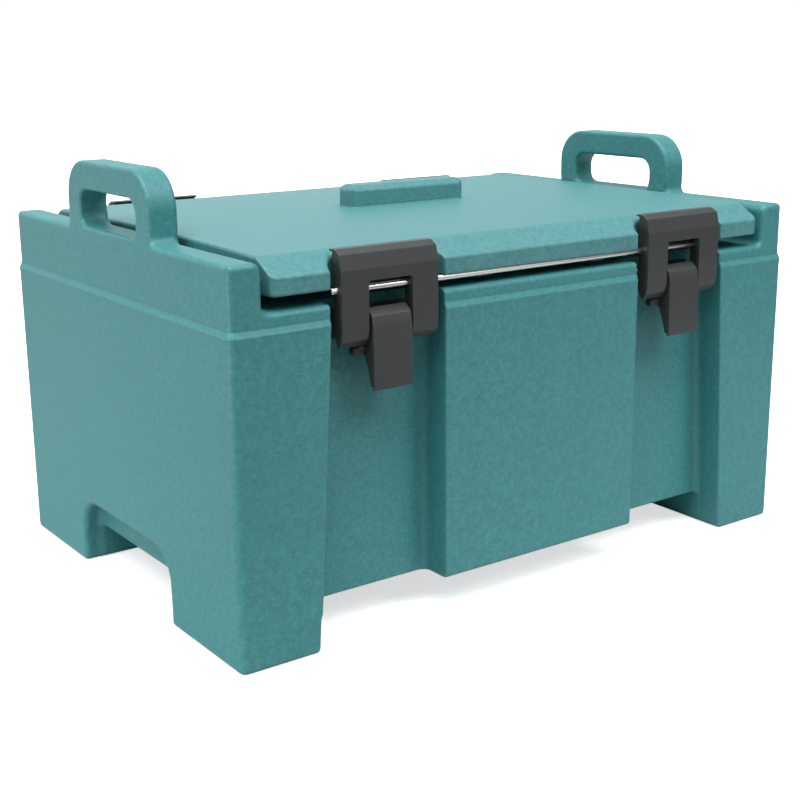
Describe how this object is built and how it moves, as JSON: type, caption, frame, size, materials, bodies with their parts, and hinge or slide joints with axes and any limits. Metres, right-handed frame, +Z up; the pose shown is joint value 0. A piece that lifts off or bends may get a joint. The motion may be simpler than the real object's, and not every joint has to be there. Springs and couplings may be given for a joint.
{
  "type": "insulated food pan carrier",
  "caption": "Top-loading insulated food pan carrier with loop handles, corner feet and a latched lid that opens on its rear latches.",
  "frame": {"origin": "centre of the footprint, on the floor under the feet", "axes": "+X along the length, front towards -Y, +Z up"},
  "size_m": [0.672, 0.474, 0.4145],
  "materials": {
    "shell": "fine grained matte moulded polyethylene",
    "lid": "fine grained matte moulded polyethylene",
    "foam": "rigid closed-cell foam",
    "gasket": "soft seal",
    "black_plastic": "moulded plug",
    "nylon": "satin glass-filled nylon",
    "steel": "drawn stainless rod"
  },
  "bodies": {
    "body": {"body_shell": "shell", "body_liner": "shell", "end_wall_left": "shell", "end_wall_right": "shell", "handle_left": "shell", "handle_right": "shell", "body_foam": "foam", "body_plugs": "black_plastic", "keeper_front_left": "nylon", "keeper_front_right": "nylon", "keeper_rear_left": "nylon", "keeper_rear_right": "nylon", "keeper_screws": "steel"},
    "lid": {"lid_shell": "lid", "lid_foam": "foam", "lid_gasket": "gasket", "lid_plugs": "black_plastic", "rod_front": "steel", "rod_rear": "steel", "rod_clips": "nylon", "frame_front_left": "nylon", "frame_front_right": "nylon", "frame_rear_left": "nylon", "frame_rear_right": "nylon", "pin_front_left": "steel", "pin_front_right": "steel", "pin_rear_left": "steel", "pin_rear_right": "steel"},
    "lever_front_left": {"lever_front_left": "nylon"},
    "lever_front_right": {"lever_front_right": "nylon"},
    "lever_rear_left": {"lever_rear_left": "nylon"},
    "lever_rear_right": {"lever_rear_right": "nylon"}
  },
  "joints": [
    {"name": "lid_hinge", "type": "hinge", "parent": "body", "child": "lid", "pos_m": [0, 0.2235, 0.29], "axis": [-1, 0, 0], "range_deg": [0, 90]},
    {"name": "lever_front_left_pivot", "type": "hinge", "parent": "lid", "child": "lever_front_left", "pos_m": [-0.18, -0.2235, 0.29], "axis": [-1, 0, 0], "range_deg": [0, 110]},
    {"name": "lever_front_right_pivot", "type": "hinge", "parent": "lid", "child": "lever_front_right", "pos_m": [0.18, -0.2235, 0.29], "axis": [-1, 0, 0], "range_deg": [0, 110]},
    {"name": "lever_rear_left_pivot", "type": "hinge", "parent": "body", "child": "lever_rear_left", "pos_m": [-0.18, 0.2235, 0.29], "axis": [1, 0, 0], "range_deg": [0, 40]},
    {"name": "lever_rear_right_pivot", "type": "hinge", "parent": "body", "child": "lever_rear_right", "pos_m": [0.18, 0.2235, 0.29], "axis": [1, 0, 0], "range_deg": [0, 40]}
  ]
}
